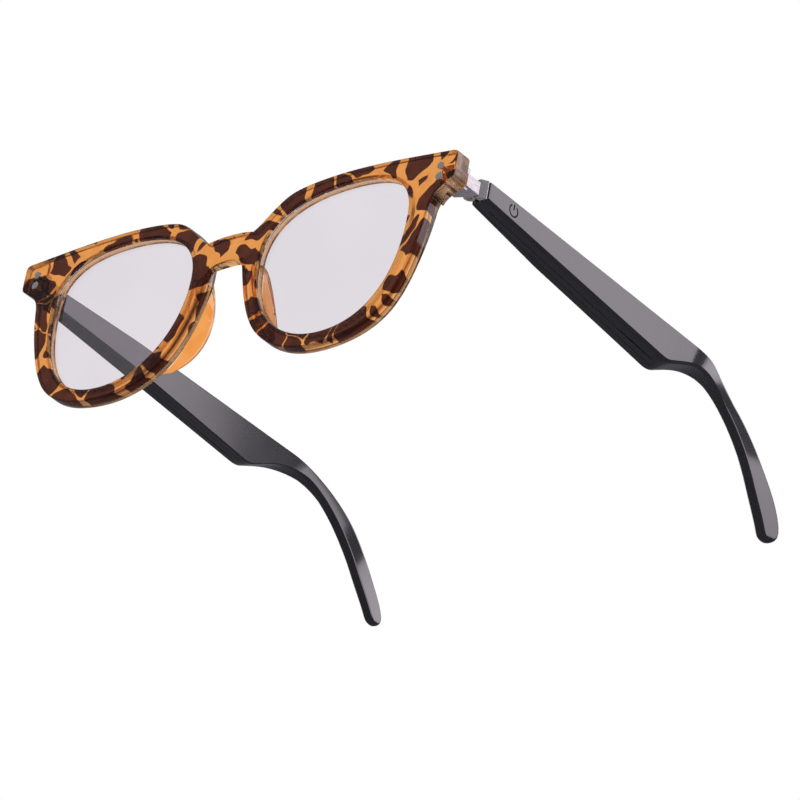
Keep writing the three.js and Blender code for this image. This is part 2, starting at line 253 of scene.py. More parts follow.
class Nodes:
    """A short way to write a node tree."""

    def __init__(self, name, world=False):
        self.owner = (bpy.data.worlds if world else bpy.data.materials).new(name)
        self.owner.use_nodes = True
        self.tree = self.owner.node_tree
        self.tree.nodes.clear()

    def add(self, kind, settings=None, **inputs):
        node = self.tree.nodes.new(kind)
        for key, value in (settings or {}).items():
            setattr(node, key, value)
        for key, value in inputs.items():
            self.set(node.inputs[key.replace("_", " ")], value)
        return node

    def set(self, socket, value):
        if isinstance(value, bpy.types.NodeSocket):
            self.tree.links.new(value, socket)
        elif hasattr(socket.default_value, "__len__") and not hasattr(value, "__len__"):
            socket.default_value = [value] * len(socket.default_value)
        elif hasattr(value, "__len__") and len(value) == 3 and len(socket.default_value) == 4:
            socket.default_value = (*value, 1)
        else:
            socket.default_value = value

    def math(self, operation, a, b=0.0):
        node = self.add("ShaderNodeMath", {"operation": operation})
        self.set(node.inputs[0], a)
        self.set(node.inputs[1], b)
        return node.outputs[0]

    def vector(self, operation, a, b):
        node = self.add("ShaderNodeVectorMath", {"operation": operation})
        self.set(node.inputs[0], a)
        self.set(node.inputs[1], b)
        return node.outputs[0]

    def mix(self, factor, a, b, blend="MIX"):
        node = self.add("ShaderNodeMix", {"data_type": "RGBA", "blend_type": blend})
        self.set(node.inputs[0], factor)
        self.set(node.inputs[6], a)
        self.set(node.inputs[7], b)
        return node.outputs[2]

    def steps(self, value, low, high, to_low=0.0, to_high=1.0):
        node = self.add("ShaderNodeMapRange", {"interpolation_type": "SMOOTHSTEP"})
        for i, item in enumerate((value, low, high, to_low, to_high)):
            self.set(node.inputs[i], item)
        return node.outputs[0]

    def millimetres(self):
        """Object position in millimetres."""
        where = self.add("ShaderNodeTexCoord").outputs["Object"]
        return self.vector("MULTIPLY", where, (1000, 1000, 1000))

    def parts(self, vector):
        """The x, y and z of a vector."""
        return self.add("ShaderNodeSeparateXYZ", Vector=vector).outputs

    def noise(self, where, scale, detail=2.0, roughness=0.5):
        return self.add("ShaderNodeTexNoise", Vector=where, Scale=scale, Detail=detail,
                        Roughness=roughness)

    def bump(self, height, strength, distance):
        return self.add("ShaderNodeBump", Strength=strength, Distance=distance,
                        Height=height).outputs[0]

    def principled(self, colour, roughness, **others):
        shader = self.add("ShaderNodeBsdfPrincipled")
        self.set(shader.inputs["Base Color"], colour)
        self.set(shader.inputs["Roughness"], roughness)
        for key, value in others.items():
            self.set(shader.inputs[key.replace("_", " ")], value)
        self.output(shader.outputs[0])
        return shader

    def output(self, socket):
        out = self.add("ShaderNodeOutputMaterial" if isinstance(self.owner, bpy.types.Material)
                       else "ShaderNodeOutputWorld")
        self.tree.links.new(socket, out.inputs["Surface"])


# The tortoiseshell's amber and brown, in the layer at the front of the acetate.
AMBER = (0.90, 0.230, 0.019)
AMBER_DEEP = (0.80, 0.165, 0.012)
AMBER_WALL = (0.88, 0.44, 0.150)
BROWN = (0.0055, 0.0004, 0.0001)
BROWN_RED = (0.012, 0.0009, 0.0002)
# The clear acetate behind it: its back face, and its side walls by amber and by brown. The side
# walls by amber are tinted darker than the back face: partly painted shade for the shade and dark
# reflections inside the acetate, partly the acetate's own amber tint.
CLEAR = (0.78, 0.56, 0.41)
SHADED_CLEAR_WALL = (0.50, 0.33, 0.20)
PATCH_WALL = (0.20, 0.14, 0.11)
# The outer walls of the end pieces, the walls of the openings, and the cut lens grooves with
# their front walls.
END_WALL = (0.93, 0.70, 0.55)
BORE = (0.80, 0.38, 0.12)
GROOVE = (0.88, 0.52, 0.25)
GROOVE_PALE = (0.96, 0.90, 0.82)
# How deep the front layer goes, the size and place of its patches, and the roughness that is
# added on the grooves and the walls of the openings.
FRONT_LAYER = 2.7
PATCH_SCALE = 0.118
PATCH_SHIFT = (3.1, 0.0, 8.7)
SATIN = 0.25


def tortoise():
    """Clear acetate with a laminated front layer of dark rounded patches in amber."""
    n = Nodes("tortoise acetate")
    where = n.millimetres()
    across, along, _ = n.parts(where)
    facing = n.parts(n.add("ShaderNodeTexCoord").outputs["Normal"])[1]
    wall = n.steps(n.math("ABSOLUTE", facing), 0.3, 0.7, 1.0, 0.0)
    end = n.math("MULTIPLY", wall, n.steps(n.math("ABSOLUTE", across), 65.0, 69.0))
    cut = n.add("ShaderNodeAttribute", {"attribute_name": "clear"}).outputs["Fac"]
    bore = n.add("ShaderNodeAttribute", {"attribute_name": "bore"}).outputs["Fac"]

    # Patches are warped cells with rounded corners, parted by veins of varying width.
    swirl = n.vector("SUBTRACT", n.noise(where, 0.13, 1.5).outputs["Color"], (0.5, 0.5, 0.5))
    warp = n.vector("MULTIPLY", swirl, (8.0, 0.0, 8.0))
    flat = n.vector("MULTIPLY", n.vector("ADD", where, warp), (1.0, 0.12, 1.0))
    spot = n.vector("ADD", flat, PATCH_SHIFT)
    edge, middle = (n.add("ShaderNodeTexVoronoi", {"feature": feature}, Vector=spot,
                          Scale=PATCH_SCALE, Randomness=0.9).outputs["Distance"]
                    for feature in ("DISTANCE_TO_EDGE", "F1"))
    corner = n.math("MULTIPLY", n.math("POWER", middle, 2.0), 0.16)
    vein = n.steps(n.noise(where, 0.10, 1.0).outputs[0], 0.35, 0.65, -0.035, 0.085)
    patch = n.math("SUBTRACT", n.math("SUBTRACT", edge, corner), vein)
    patch = n.steps(patch, -0.010, 0.010)

    cloud = n.steps(n.noise(where, 0.22, 3.0).outputs[0], 0.3, 0.7)
    amber = n.mix(wall, n.mix(cloud, AMBER, AMBER_DEEP), AMBER_WALL)
    pattern = n.mix(patch, amber, n.mix(cloud, BROWN, BROWN_RED))
    pattern = n.mix(n.math("MULTIPLY", end, 0.8), pattern, END_WALL)
    # The side walls of the clear back take the darker tint, which is partly painted shade.
    back = n.mix(wall, CLEAR, n.mix(patch, SHADED_CLEAR_WALL, PATCH_WALL))
    back = n.mix(bore, back, BORE)
    depth = n.math("SUBTRACT", along, FRONT_Y / MM)
    layer = n.steps(depth, FRONT_LAYER - 0.3, FRONT_LAYER + 0.4, 1.0, 0.0)
    groove = n.steps(cut, 0.1, 0.4)
    colour = n.mix(groove, n.mix(layer, back, pattern),
                   n.mix(n.steps(cut, 0.6, 0.9), GROOVE, GROOVE_PALE))

    hair = n.noise(n.vector("MULTIPLY", where, (1.0, 3.0, 1.0)), 0.8, 2.0).outputs[0]
    rough = n.math("ADD", n.steps(hair, 0.45, 0.75, 0.02, 0.05),
                   n.math("MULTIPLY", n.math("MAXIMUM", groove, bore), SATIN))
    rough = n.math("ADD", rough,
                   n.math("ADD", n.math("MULTIPLY", wall, 0.04), n.math("MULTIPLY", end, 0.28)))
    n.principled(colour, rough, IOR=1.49, Transmission_Weight=1.0)
    return n.owner


def clear_amber():
    """Plain amber acetate of the nose pads."""
    n = Nodes("amber pads")
    where = n.millimetres()
    cloud = n.steps(n.noise(where, 0.20, 3.0).outputs[0], 0.35, 0.65)
    colour = n.mix(cloud, (0.92, 0.39, 0.100), (0.90, 0.31, 0.060))
    facing = n.parts(n.add("ShaderNodeTexCoord").outputs["Normal"])[1]
    # The face towards the rim is almost clear, so the amber of both isn't counted twice.
    colour = n.mix(n.steps(facing, -0.9, -0.6), (0.98, 0.93, 0.86), colour)
    rough = n.steps(n.noise(where, 2.2, 4.0).outputs[0], 0.4, 0.75, 0.02, 0.08)
    n.principled(colour, rough, IOR=1.49, Transmission_Weight=1.0,
                 Normal=n.bump(n.noise(where, 0.5, 1.0).outputs[0], 0.3, 0.0002))
    return n.owner


def lens_glass():
    """Nearly clear lens with a faint cool grey tint and a trace of wiping marks."""
    n = Nodes("pale lens")
    where = n.millimetres()
    cloud = n.steps(n.noise(where, 0.03, 1.0).outputs[0], 0.3, 0.7)
    colour = n.mix(cloud, (0.80, 0.755, 0.80), (0.77, 0.73, 0.78))
    smear = n.noise(n.vector("MULTIPLY", where, (0.3, 1.0, 1.4)), 0.5, 5.0).outputs[0]
    n.principled(colour, n.steps(smear, 0.55, 0.8, 0.0, 0.02), IOR=1.5,
                 Transmission_Weight=1.0)
    return n.owner


def black_plastic():
    """Polished black plastic, a little cloudier and duller in places."""
    n = Nodes("black temple plastic")
    where = n.millimetres()
    cloud = n.noise(where, 0.05, 2.0).outputs[0]
    colour = n.mix(n.steps(cloud, 0.3, 0.7), (0.0075, 0.0065, 0.0085), (0.011, 0.010, 0.0125))
    rough = n.steps(cloud, 0.35, 0.75, 0.10, 0.13)
    n.principled(colour, rough, IOR=1.85)
    return n.owner


def satin_metal(name, colour, darker, grain=(0.4, 0.4, 2.4), rough=(0.24, 0.34), metallic=1.0):
    """Metal in two tones with a fine grain, drawn out along the axes where grain is small."""
    n = Nodes(name)
    where = n.millimetres()
    lines = n.noise(n.vector("MULTIPLY", where, grain), 1.3, 4.0).outputs[0]
    tone = n.mix(n.steps(lines, 0.3, 0.7), colour, darker)
    n.principled(tone, n.steps(lines, 0.3, 0.7, *rough), Metallic=metallic,
                 Normal=n.bump(lines, 0.08, 0.00002))
    return n.owner


def matt_plastic(name, colour, paler, grain=3.0, rough=(0.45, 0.62)):
    """Dull plastic or ink with a fine speck in two close tones."""
    n = Nodes(name)
    where = n.millimetres()
    speck = n.noise(where, grain, 3.0).outputs[0]
    tone = n.mix(n.steps(speck, 0.35, 0.65), colour, paler)
    n.principled(tone, n.steps(speck, 0.35, 0.65, *rough),
                 Normal=n.bump(speck, 0.2, 0.00003))
    return n.owner


def solder_mask():
    """Green circuit board with paler tracks under the lacquer."""
    n = Nodes("circuit board")
    where = n.millimetres()
    grid = n.add("ShaderNodeTexBrick", {"offset": 0.5}, Vector=n.vector("MULTIPLY", where,
                 (0.0, 1.0, 1.0)), Scale=1.1, Mortar_Size=0.06, Color1=(0.02, 0.13, 0.05),
                 Color2=(0.015, 0.10, 0.04), Mortar=(0.10, 0.28, 0.10))
    n.principled(grid.outputs["Color"], n.steps(n.noise(where, 2.0).outputs[0], 0.3, 0.7,
                 0.3, 0.5), Coat_Weight=0.3)
    return n.owner


def punched_mesh():
    """Fine punched metal of the sound slot. Its holes are painted near-black: painted shade in
    the openings.
    """
    n = Nodes("speaker mesh")
    where = n.millimetres()
    holes = n.add("ShaderNodeTexVoronoi", {"feature": "F1"}, Vector=where, Scale=3.2,
                  Randomness=0.0).outputs["Distance"]
    wire = n.steps(holes, 0.30, 0.42)
    # The near-black between the wires is painted shade in the holes.
    n.principled(n.mix(wire, (0.01, 0.01, 0.01), (0.30, 0.30, 0.32)), 0.4, Metallic=0.8,
                 Normal=n.bump(wire, 0.6, 0.00008))
    return n.owner


TORTOISE = tortoise()
PAD = clear_amber()
LENS = lens_glass()
BLACK = black_plastic()
NICKEL = satin_metal("satin nickel", (0.54, 0.515, 0.535), (0.48, 0.46, 0.475), metallic=0.7)
RIVET = satin_metal("rivet steel", (0.60, 0.60, 0.62), (0.48, 0.48, 0.50),
                    (3.0, 3.0, 3.0), (0.18, 0.34), 0.7)
GOLD = satin_metal("contact gold", (0.86, 0.62, 0.25), (0.70, 0.48, 0.17), (3.0, 3.0, 3.0))
FOIL = satin_metal("battery foil", (0.66, 0.67, 0.70), (0.50, 0.51, 0.54), (0.6, 0.6, 0.6))
COPPER = satin_metal("touch foil", (0.72, 0.38, 0.22), (0.60, 0.30, 0.17), (1.0, 6.0, 1.0))
CAN = matt_plastic("speaker can", (0.035, 0.035, 0.038), (0.055, 0.055, 0.058))
PRINT = matt_plastic("printed mark", (0.006, 0.006, 0.007), (0.012, 0.012, 0.013), 6.0)
BOARD = solder_mask()
GRILLE = punched_mesh()


# ---------------------------------------------------------------- front

# Points along each curve of the outline, the openings and the lenses, and along a pad.
OUTLINE_STEPS, OPENING_STEPS, LENS_STEPS, PAD_STEPS = 56, 64, 24, 44
# The middle of a lens opening, half its size, and the lens's two faces at its edge in y.
LENS_X, LENS_Z = 34.6, 24.2
LENS_HALF_WIDTH, LENS_HALF_HEIGHT = 23.6, 20.9
LENS_FACES = (1.3, 3.0)
RIM_DEPTH, END_DEPTH, EDGE_RADIUS = 4.2, 5.0, 0.55
# The groove's front and back walls in y, and how far it reaches beyond the opening.
GROOVE_FRONT, GROOVE_BACK, GROOVE_REACH = 1.0, 3.3, 1.0
# The end pieces are deeper from here outward, and no rim lies beyond RIM_END_X.
END_PIECE_X, RIM_END_X = 65.2, 62
PAD_FRONT = 4.22
RIVET_X, RIVET_Z = 66.4, (42.7, 39.7)
# Room for a rivet's head and for its shank: radius, and how far back it runs.
RIVET_HOLES = ((1.12, 0.3), (0.66, 6))


def half_outline(count):
    """The front's outline on the right side, from the middle of the top to under the bridge."""
    points = quadratic((0, 39.0), (4.2, 39.1), (7.4, 38.3), count)
    for p0, p1, p2, p3 in (
        ((7.4, 38.3), (10.5, 39.8), (14.5, 45.8), (20, 47.1)),
        ((20, 47.1), (24.5, 48.2), (31, 48.7), (38, 48.7)),
        ((38, 48.7), (49, 48.6), (60, 47.4), (69.4, 46.6)),
    ):
        points += bezier(p0, p1, p2, p3, count)
    points += quadratic((69.4, 46.6), (71.2, 46.4), (71.2, 44.8), 6)
    points += quadratic((71.2, 39.9), (71.2, 39.0), (70.4, 38.5), 5)
    points += quadratic((66.4, 35.7), (64.9, 34.4), (64.5, 31.8), 8)
    for p0, p1, p2, p3 in (
        ((64.5, 31.8), (63.6, 24.5), (60.9, 14.6), (57.3, 9.2)),
        ((57.3, 9.2), (53.5, 3.0), (45.5, 0), (35, 0)),
        ((35, 0), (26.5, 0), (19, 3.0), (14, 8.7)),
        ((14, 8.7), (9.8, 13.6), (7.6, 21.5), (5.9, 28.2)),
        ((5.9, 28.2), (5.2, 30.4), (3, 31.2), (0, 31.2)),
    ):
        points += bezier(p0, p1, p2, p3, count)
    points.append((0, 31.2))
    return points


def opening(side, grow, count):
    """The outline of a rim's opening, made larger all round by about grow."""
    points = []
    for p0, p1, p2, p3 in (
        ((36, 45.1), (51.5, 45.2), (58.6, 40.5), (58.2, 30)),
        ((58.2, 30), (58.0, 14.5), (51.2, 3.4), (36, 3.4)),
        ((36, 3.4), (22, 3.4), (11.2, 14), (11, 28.5)),
        ((11, 28.5), (10.8, 40.5), (21.5, 45.0), (36, 45.1)),
    ):
        points += bezier(p0, p1, p2, p3, count)
    sx, sz = 1 + grow / LENS_HALF_WIDTH, 1 + grow / LENS_HALF_HEIGHT
    return [(side * (LENS_X + (x - LENS_X) * sx), LENS_Z + (z - LENS_Z) * sz) for x, z in points]


def acetate_front():
    """Both rims, the bridge and the end pieces in one solid, grooved for the lenses."""
    half = half_outline(OUTLINE_STEPS)
    outline = half + [(-x, z) for x, z in half[-2:0:-1]]
    holes = [opening(side, 0, OPENING_STEPS) for side in (-1, 1)]
    front = slab("acetate_front", [outline, *holes], 0, RIM_DEPTH, EDGE_RADIUS)
    for side in (-1, 1):
        x = sorted((END_PIECE_X * side, 80 * side))
        deep = slab("deep", [outline], 0, END_DEPTH, EDGE_RADIUS)
        combine(deep, block("reach", x, (1.5, 9), (30, 50)), "INTERSECT")
        combine(front, deep, "UNION")
        groove = opening(side, GROOVE_REACH, OPENING_STEPS)
        combine(front, slab("groove", [groove], GROOVE_FRONT, GROOVE_BACK), "DIFFERENCE")
    # The back of the bridge is hollowed at its lower edge.
    relief = [(1.6, 30.0), (4.0, 32.6), (5.2, 33.4), (9, 33.8), (9, 27), (1.6, 27)]
    combine(front, prism("relief", relief, -6.5, 6.5), "DIFFERENCE")
    for side in (-1, 1):
        for z in RIVET_Z:
            for radius, y1 in RIVET_HOLES:
                hole = slab("hole", [circle((side * RIVET_X, z), radius)], -1, y1)
                combine(front, hole, "DIFFERENCE")
    mark_grooves(front.data)
    shade(front, 40)
    finish_piece(front, "front", TORTOISE, "front_frame")


def mark_grooves(mesh):
    """Marks the lens grooves, which are cut clear, and the satin walls of the openings.

    "clear" is 1.0 on a groove's front wall and 0.5 on the rest of it. "bore" is 1.0 on the
    walls of the openings.
    """
    clear = mesh.attributes.new("clear", "FLOAT", "CORNER")
    bore = mesh.attributes.new("bore", "FLOAT", "CORNER")
    edge = sorted((math.atan2(z - LENS_Z, x - LENS_X), math.hypot(x - LENS_X, z - LENS_Z))
                  for x, z in opening(1, 0.08, 44))
    slack = 0.05
    for polygon in mesh.polygons:
        x, y, z = polygon.center
        x, y, z = abs(x) / MM, (y - FRONT_Y) / MM, z / MM
        turn = math.atan2(z - LENS_Z, x - LENS_X)
        near = min(edge, key=lambda item: abs(item[0] - turn))
        away = math.hypot(x - LENS_X, z - LENS_Z) - near[1]
        rim = x < RIM_END_X
        cut = rim and GROOVE_FRONT - slack < y < GROOVE_BACK + slack and 0.0 < away < 1.3
        wall = rim and not cut and away < 0.6 and abs(polygon.normal.y) < 0.85
        front_side = y < GROOVE_FRONT + slack
        for corner in polygon.loop_indices:
            clear.data[corner].value = (1.0 if front_side else 0.5) if cut else 0.0
            bore.data[corner].value = 1.0 if wall else 0.0


def lens(side, label):
    """A thin domed lens. Its edge, thicker and rounded, sits in the rim's groove."""
    outline = opening(side, 0.7, LENS_STEPS)
    cx, cz = LENS_X * side, LENS_Z
    # Rings from the middle outward. The last few are close together, inside the groove.
    reach = [0.975 * r / 12 for r in range(1, 13)] + [0.98, 0.985, 0.9925, 1.0]
    rings = len(reach)
    dome, thickening = 0.45, 0.18
    verts, faces = [], []
    n = len(outline)
    for y, order in zip(LENS_FACES, (1, -1)):
        base = len(verts)
        verts.append(place(cx, y - dome, cz))
        for t in reach:
            rim = thickening * smoothstep((t - 0.985) / 0.015)
            for x, z in outline:
                verts.append(place(cx + (x - cx) * t, y - dome * (1 - t * t) + order * rim,
                                   cz + (z - cz) * t))
        for i in range(n):
            j = (i + 1) % n
            faces.append((base, base + 1 + i, base + 1 + j)[::order])
            for r in range(rings - 1):
                a, b = base + 1 + r * n, base + 1 + (r + 1) * n
                faces.append((a + i, b + i, b + j, a + j)[::order])
    front_rim, back_rim = 1 + (rings - 1) * n, len(verts) - n
    for i in range(n):
        j = (i + 1) % n
        faces.append((front_rim + i, back_rim + i, back_rim + j, front_rim + j))
    obj = mesh_object("lens_pane_" + label, verts, faces)
    obj.data.shade_smooth()
    obj.data.set_sharp_from_angle(angle=math.radians(40))
    finish_piece(obj, "front", LENS, "lens_" + label)


def nose_pad():
    """A rounded lobe behind the nasal side of the rim, deepest low down."""
    # Its edges towards the nose and towards the lens in x and z, then its back in z and y.
    near = bezier((8.4, 29.8), (7.2, 29.6), (7.2, 29.0), (7.3, 28.4), 6)
    near += bezier((7.3, 28.4), (8.3, 20.5), (10.2, 14.0), (13.6, 9.4), 24)
    near += bezier((13.6, 9.4), (14.9, 7.8), (16.4, 6.4), (18.0, 5.4), 8) + [(18.9, 5.4)]
    far = bezier((8.4, 29.8), (9.8, 30.0), (10.7, 29.2), (10.9, 27.6), 6)
    far += bezier((10.9, 27.6), (11.5, 20.0), (14.0, 12.6), (19.2, 6.9), 30)
    far += [(19.4, 6.2), (18.9, 5.4)]
    depth = bezier((30.4, 4.5), (28.4, 7.2), (23.0, 10.1), (17.0, 10.1), 30)
    depth += bezier((17.0, 10.1), (12.4, 10.1), (7.8, 8.2), (4.9, 4.5), 30) + [(4.9, 4.5)]
    near, far = resample(near, PAD_STEPS), resample(far, PAD_STEPS)
    rings = []
    for i in range(PAD_STEPS + 1):
        (x0, z0), (x1, z1) = near[i], far[i]
        if i in (0, PAD_STEPS):
            x1, z1 = x0 + 0.02, z0
        width = math.dist((x0, z0), (x1, z1))
        back = max(at(depth, 0, (z0 + z1) / 2)[1], PAD_FRONT + 0.15)
        round_off = smoothstep(min(i, PAD_STEPS - i) / 4.0)
        back = PAD_FRONT + (back - PAD_FRONT) * (0.25 + 0.75 * round_off)
        radius = min(width * 0.48, (back - PAD_FRONT) * 0.8)
        ring = [(0.0, PAD_FRONT), (0.5, PAD_FRONT), (1.0, PAD_FRONT)]
        for k in range(9):
            a = math.pi / 2 * k / 8
            ring.append((1 - (radius / width) * (1 - math.cos(a)),
                         back - radius + radius * math.sin(a)))
        for k in range(9):
            a = math.pi / 2 * (1 + k / 8)
            ring.append(((radius / width) * (1 + math.cos(a)),
                         back - radius + radius * math.sin(a)))
        rings.append([place(x0 + (x1 - x0) * t, y, z0 + (z1 - z0) * t) for t, y in ring])
    return loft("nose_pad", rings)


acetate_front()
for label, side in (("left", -1), ("right", 1)):
    lens(side, label)
pad = nose_pad()
for label in ("left", "right"):
    lobe = copy_of(pad, "pad_right") if label == "right" else mirrored(pad, "pad_left")
    shade(lobe, 50)
    finish_piece(lobe, "front", PAD, "nose_pad_" + label)
bpy.data.objects.remove(pad)


# ---------------------------------------------------------------- temples

# Along y: the hinge end, the elbow before the ear hook, and where the underside's lean ends.
TEMPLE_FRONT, ELBOW, TILT_END = 12.4, 85.0, 106.0
# The underside drops by DROP from the hinge end to the elbow, and leans by up to LEAN.
TOP_Z, FRONT_BOTTOM_Z, ELBOW_Z = 43.8, 38.4, 33.7
DROP, LEAN = 4.7, 1.1
# Across x: the outer face, the inner face, and the inner face at the hinge end.
OUTER, INNER, INNER_FRONT = 72.0, 65.5, 66.9
# The outer face draws in between these two y values, to TIP_OUTER.
TOE_IN_START, TOE_IN_END, TIP_OUTER = 97, 119, 68.35
# The cover lies inside x = SPLIT, up to y = COVER_END, with a fine seam round it.
SPLIT, COVER_END = 67.5, 96.1
SEAM, END_SEAM = 0.12, 0.05
SOUND_SLOT_X, SOUND_SLOT_Y = (69.2, 69.5), (71, 81)
MOULDING_LINE_X, MOULDING_LINE_DEPTH = (69.27, 69.43), 0.15
MICROPHONE_PORT, PORT_RADIUS = (68.4, 30), 0.45
CONTACTS, CONTACT_HOLE_RADIUS = ((41.5, 40), (46.5, 40)), 1.0
# Bevels of the straight part, in the order top outer, top inner, bottom inner, bottom outer.
BEVELS = (0.34, 0.34, 0.34, 0.85)


def temple_edges():
    """The temple's lower and upper edges in y and z, from the hinge end to the tip."""
    lower = [(TEMPLE_FRONT + 72.6 * i / 60, FRONT_BOTTOM_Z - DROP * i / 60) for i in range(60)]
    lower += quadratic((ELBOW, ELBOW_Z), (87.6, 33.5), (89.4, 34.5), 10)
    lower += bezier((89.4, 34.5), (96, 37.6), (101, 40.4), (109, 39.5), 26)
    lower += bezier((109, 39.5), (118, 37.7), (127, 30.8), (133, 23.2), 30)
    lower += bezier((133, 23.2), (136, 19.5), (138.6, 16.8), (140.4, 14.2), 16)
    lower += bezier((140.4, 14.2), (141.3, 12.9), (142.6, 12.3), (143.9, 12.4), 8)
    lower.append((143.9, 12.4))
    upper = [(TEMPLE_FRONT + 90.6 * i / 70, TOP_Z) for i in range(70)]
    upper += bezier((103, TOP_Z), (113, 43.9), (125.5, 39.2), (133.2, 32.3), 34)
    upper += bezier((133.2, 32.3), (139, 27.2), (146.6, 19.5), (146.8, 15.4), 26)
    upper += bezier((146.8, 15.4), (146.7, 13.6), (145.4, 12.5), (143.9, 12.4), 8)
    upper.append((143.9, 12.4))
    return lower, upper


def sections():
    """Pairs of facing points on the two edges, upright along the straight part."""
    lower, upper = temple_edges()
    pairs = []
    for i in range(48):
        y = TEMPLE_FRONT + (ELBOW - 1 - TEMPLE_FRONT) * i / 48
        pairs.append((at(lower, 0, y), at(upper, 0, y)))
    lower_rest = [p for p in lower if p[0] > ELBOW - 1]
    lower_rest.insert(0, at(lower, 0, ELBOW - 1))
    upper_rest = [p for p in upper if p[0] > ELBOW - 1]
    upper_rest.insert(0, at(upper, 0, ELBOW - 1))
    low, high = resample(lower_rest, 110), resample(upper_rest, 110)
    pairs += list(zip(low, high))
    return pairs


def plan_x(y):
    """Inner and outer x of the temple at y, before the toe-in and twist of the tip."""
    t = min(max((y - TEMPLE_FRONT) / (40 - TEMPLE_FRONT), 0), 1)
    inner = INNER_FRONT + (INNER - INNER_FRONT) * t
    if y < TOE_IN_START:
        return inner, OUTER
    if y >= TOE_IN_END:
        return inner, TIP_OUTER
    path = bezier((TOE_IN_START, OUTER), (104.5, OUTER), (109, 69.2), (TOE_IN_END, TIP_OUTER), 20)
    return inner, at(path + [(TOE_IN_END, TIP_OUTER)], 0, y)[1]


def bent(x, y, z):
    """The lean of the underside, then the toe-in and twist of the ear hook."""
    rise = ((y - TEMPLE_FRONT) / (ELBOW - TEMPLE_FRONT) if y < ELBOW
            else (TILT_END - y) / (TILT_END - ELBOW))
    across = (OUTER - x) / (OUTER - INNER)
    down = min(max((TOP_Z - z) / (TOP_Z - ELBOW_Z), 0), 1)
    z -= LEAN * min(max(rise, 0), 1) * across * down
    twist = 0.2 * min(max((y - 128) / 14, 0), 1)
    x += twist * (0.75 * (y - 131) + 0.66 * (z - 30)) - 0.035 * max(0, y - 106)
    return x, y, z


def corner_points(corner, x0, x1, height, radius, crisp):
    """One corner of a section, in the order of BEVELS, from a full round to a fine bevel as
    crisp goes from 0 to 1."""
    right, top = corner in (0, 3), corner in (0, 1)
    points = []
    # Along the bevel and out from it, so that its two bends are rounded over 0.1 mm.
    for k, (s, out) in enumerate(((0.0, 0.0), (0.07, 0.02), (0.22, 0.035), (0.5, 0.0),
                                  (0.78, 0.035), (0.93, 0.02), (1.0, 0.0))):
        t = k / 6
        a = math.pi / 2 * (corner + t)
        rx = (x1 - radius if right else x0 + radius) + radius * math.cos(a)
        rz = (height - radius if top else radius) + radius * math.sin(a)
        first = (math.cos(a - math.pi / 2 * t), math.sin(a - math.pi / 2 * t))
        second = (-first[1], first[0])
        corner_at = (x1 if right else x0, height if top else 0.0)
        fx, fz = bevel_point(corner_at, first, second, BEVELS[corner], s, out)
        points.append((fx * crisp + rx * (1 - crisp), fz * crisp + rz * (1 - crisp)))
    return points


def bevel_point(corner_at, first, second, bevel, s, out):
    """A point on a flat bevel between the two faces whose normals are first and second."""
    cx, cz = corner_at
    ax, az = cx - second[0] * bevel, cz - second[1] * bevel
    bx, bz = cx - first[0] * bevel, cz - first[1] * bevel
    return (ax + (bx - ax) * s + (first[0] + second[0]) * out,
            az + (bz - az) * s + (first[1] + second[1]) * out)


def temple_body():
    """One temple with its hook in one solid, as rings of a rounded or bevelled rectangle."""
    rings = []
    for (y0, z0), (y1, z1) in sections():
        y = (y0 + y1) / 2
        inner, outer = plan_x(y)
        height = math.dist((y0, z0), (y1, z1))
        # Bevelled in the straight part and round in the hook, which narrows at its tip.
        soft = smoothstep((y - 98) / 16)
        radius = 0.42 + 0.75 * soft
        ends = min(1.0, height / 5.0) ** 0.5 if y > 135 else 1.0
        middle = (inner + outer) / 2
        half = (outer - inner) / 2 * ends
        x0, x1 = middle - half, middle + half
        if height < 0.05:
            y1, z1 = y0 + 0.02, z0 + 0.02
            height = math.dist((y0, z0), (y1, z1))
        radius = min(radius, height * 0.45, half * 0.92)
        ring = []
        for corner in range(4):
            for x, up in corner_points(corner, x0, x1, height, radius, 1 - soft):
                u = up / height
                ring.append((x, y0 + (y1 - y0) * u, z0 + (z1 - z0) * u))
        rings.append(ring)
    # The hinge end is closed by rings that draw in, for a rounded edge.
    first = rings[0]
    cx = sum(p[0] for p in first) / len(first)
    cz = sum(p[2] for p in first) / len(first)
    capped = []
    for back, inset in ((0.0, 0.45), (0.06, 0.26), (0.2, 0.09), (0.45, 0.0)):
        capped.append([(x - math.copysign(min(inset, abs(x - cx)), x - cx), TEMPLE_FRONT + back,
                        z - math.copysign(min(inset, abs(z - cz)), z - cz))
                       for x, _, z in first])
    rings = capped + rings[1:]
    return loft("temple", [[place(*bent(*p)) for p in ring] for ring in rings])


def pocket_cutter():
    """The hollow that holds the battery, board and speaker."""
    outline = [(14.0, 39.6), (85, 35.0), (93.5, 38.3), (93.5, 42.5), (14.0, 42.5)]
    return prism("pocket", outline, 60, 70.7)


def moulding_line_cutter():
    """A fine line along the underside, through the sound slot."""
    x0, x1 = MOULDING_LINE_X
    across = (OUTER - (x0 + x1) / 2) / (OUTER - INNER)
    drop = DROP + LEAN * across
    run = ELBOW - TEMPLE_FRONT
    ends = [(y, FRONT_BOTTOM_Z - drop * (y - TEMPLE_FRONT) / run + MOULDING_LINE_DEPTH)
            for y in (16.0, 84.0)]
    return prism("parting", ends + [(84.0, 30.0), (16.0, 30.0)], x0, x1)


def temple_pieces():
    """The shell with its ear hook, and the inner cover, either side of a fine seam."""
    cover = temple_body()
    shell = copy_of(cover, "shell")
    for cutter in (
        block("room", (60, SPLIT + SEAM), (0, COVER_END + END_SEAM), (20, 60)),
        pocket_cutter(),
        block("arm", (67.5, 69.4), (10, 15), (39.8, 41.3)),
        block("sound", SOUND_SLOT_X, SOUND_SLOT_Y, (30, 37)),
        moulding_line_cutter(),
        upright("port", circle(MICROPHONE_PORT, PORT_RADIUS), 42, 46),
    ):
        combine(shell, cutter, "DIFFERENCE")
    combine(cover, block("keep", (60, SPLIT), (0, COVER_END), (20, 60)), "INTERSECT")
    return shell, cover


